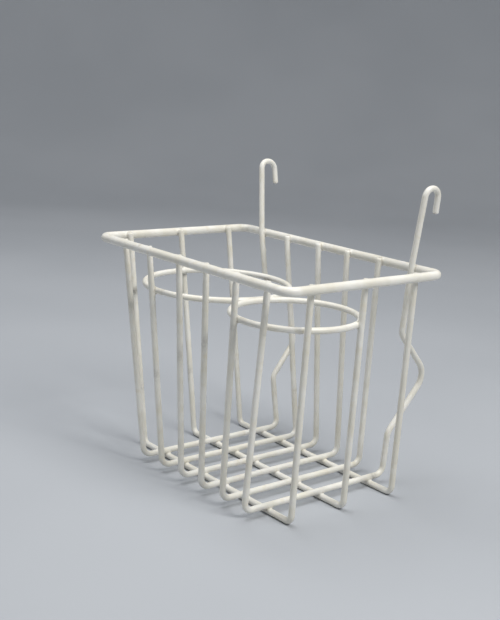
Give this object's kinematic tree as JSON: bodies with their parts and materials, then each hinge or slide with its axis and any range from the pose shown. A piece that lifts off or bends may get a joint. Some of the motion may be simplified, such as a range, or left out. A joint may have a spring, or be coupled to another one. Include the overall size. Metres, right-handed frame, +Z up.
{
  "type": "hanging wire basket",
  "caption": "Rectangular welded wire basket with an off-white plastic coating, cup rings inside the rim, and rear wires that rise into hooks and kink back as stand-offs.",
  "frame": {"origin": "centre of the outline's footprint, at the bottom of the long wires' floor runs", "axes": "+X to the right along the rim seen from the front, +Y towards the back where the hooks are, +Z up"},
  "size_m": [0.2058, 0.157, 0.205],
  "materials": {
    "coating": "semi-gloss dipped plastic, warm off-white",
    "steel": "bare drawn steel wire, fully covered by the coating"
  },
  "bodies": {
    "root": {"rim_wire": "steel", "rim_coating": "coating", "left_hook_wire": "steel", "left_hook_coating": "coating", "right_hook_wire": "steel", "right_hook_coating": "coating", "cross_wire_1": "steel", "cross_coating_1": "coating", "cross_wire_2": "steel", "cross_coating_2": "coating", "cross_wire_3": "steel", "cross_coating_3": "coating", "cross_wire_4": "steel", "cross_coating_4": "coating", "front_long_wire": "steel", "front_long_coating": "coating", "middle_long_wire": "steel", "middle_long_coating": "coating", "back_long_wire": "steel", "back_long_coating": "coating", "large_ring_wire": "steel", "large_ring_coating": "coating", "small_ring_wire": "steel", "small_ring_coating": "coating"}
  },
  "joints": []
}
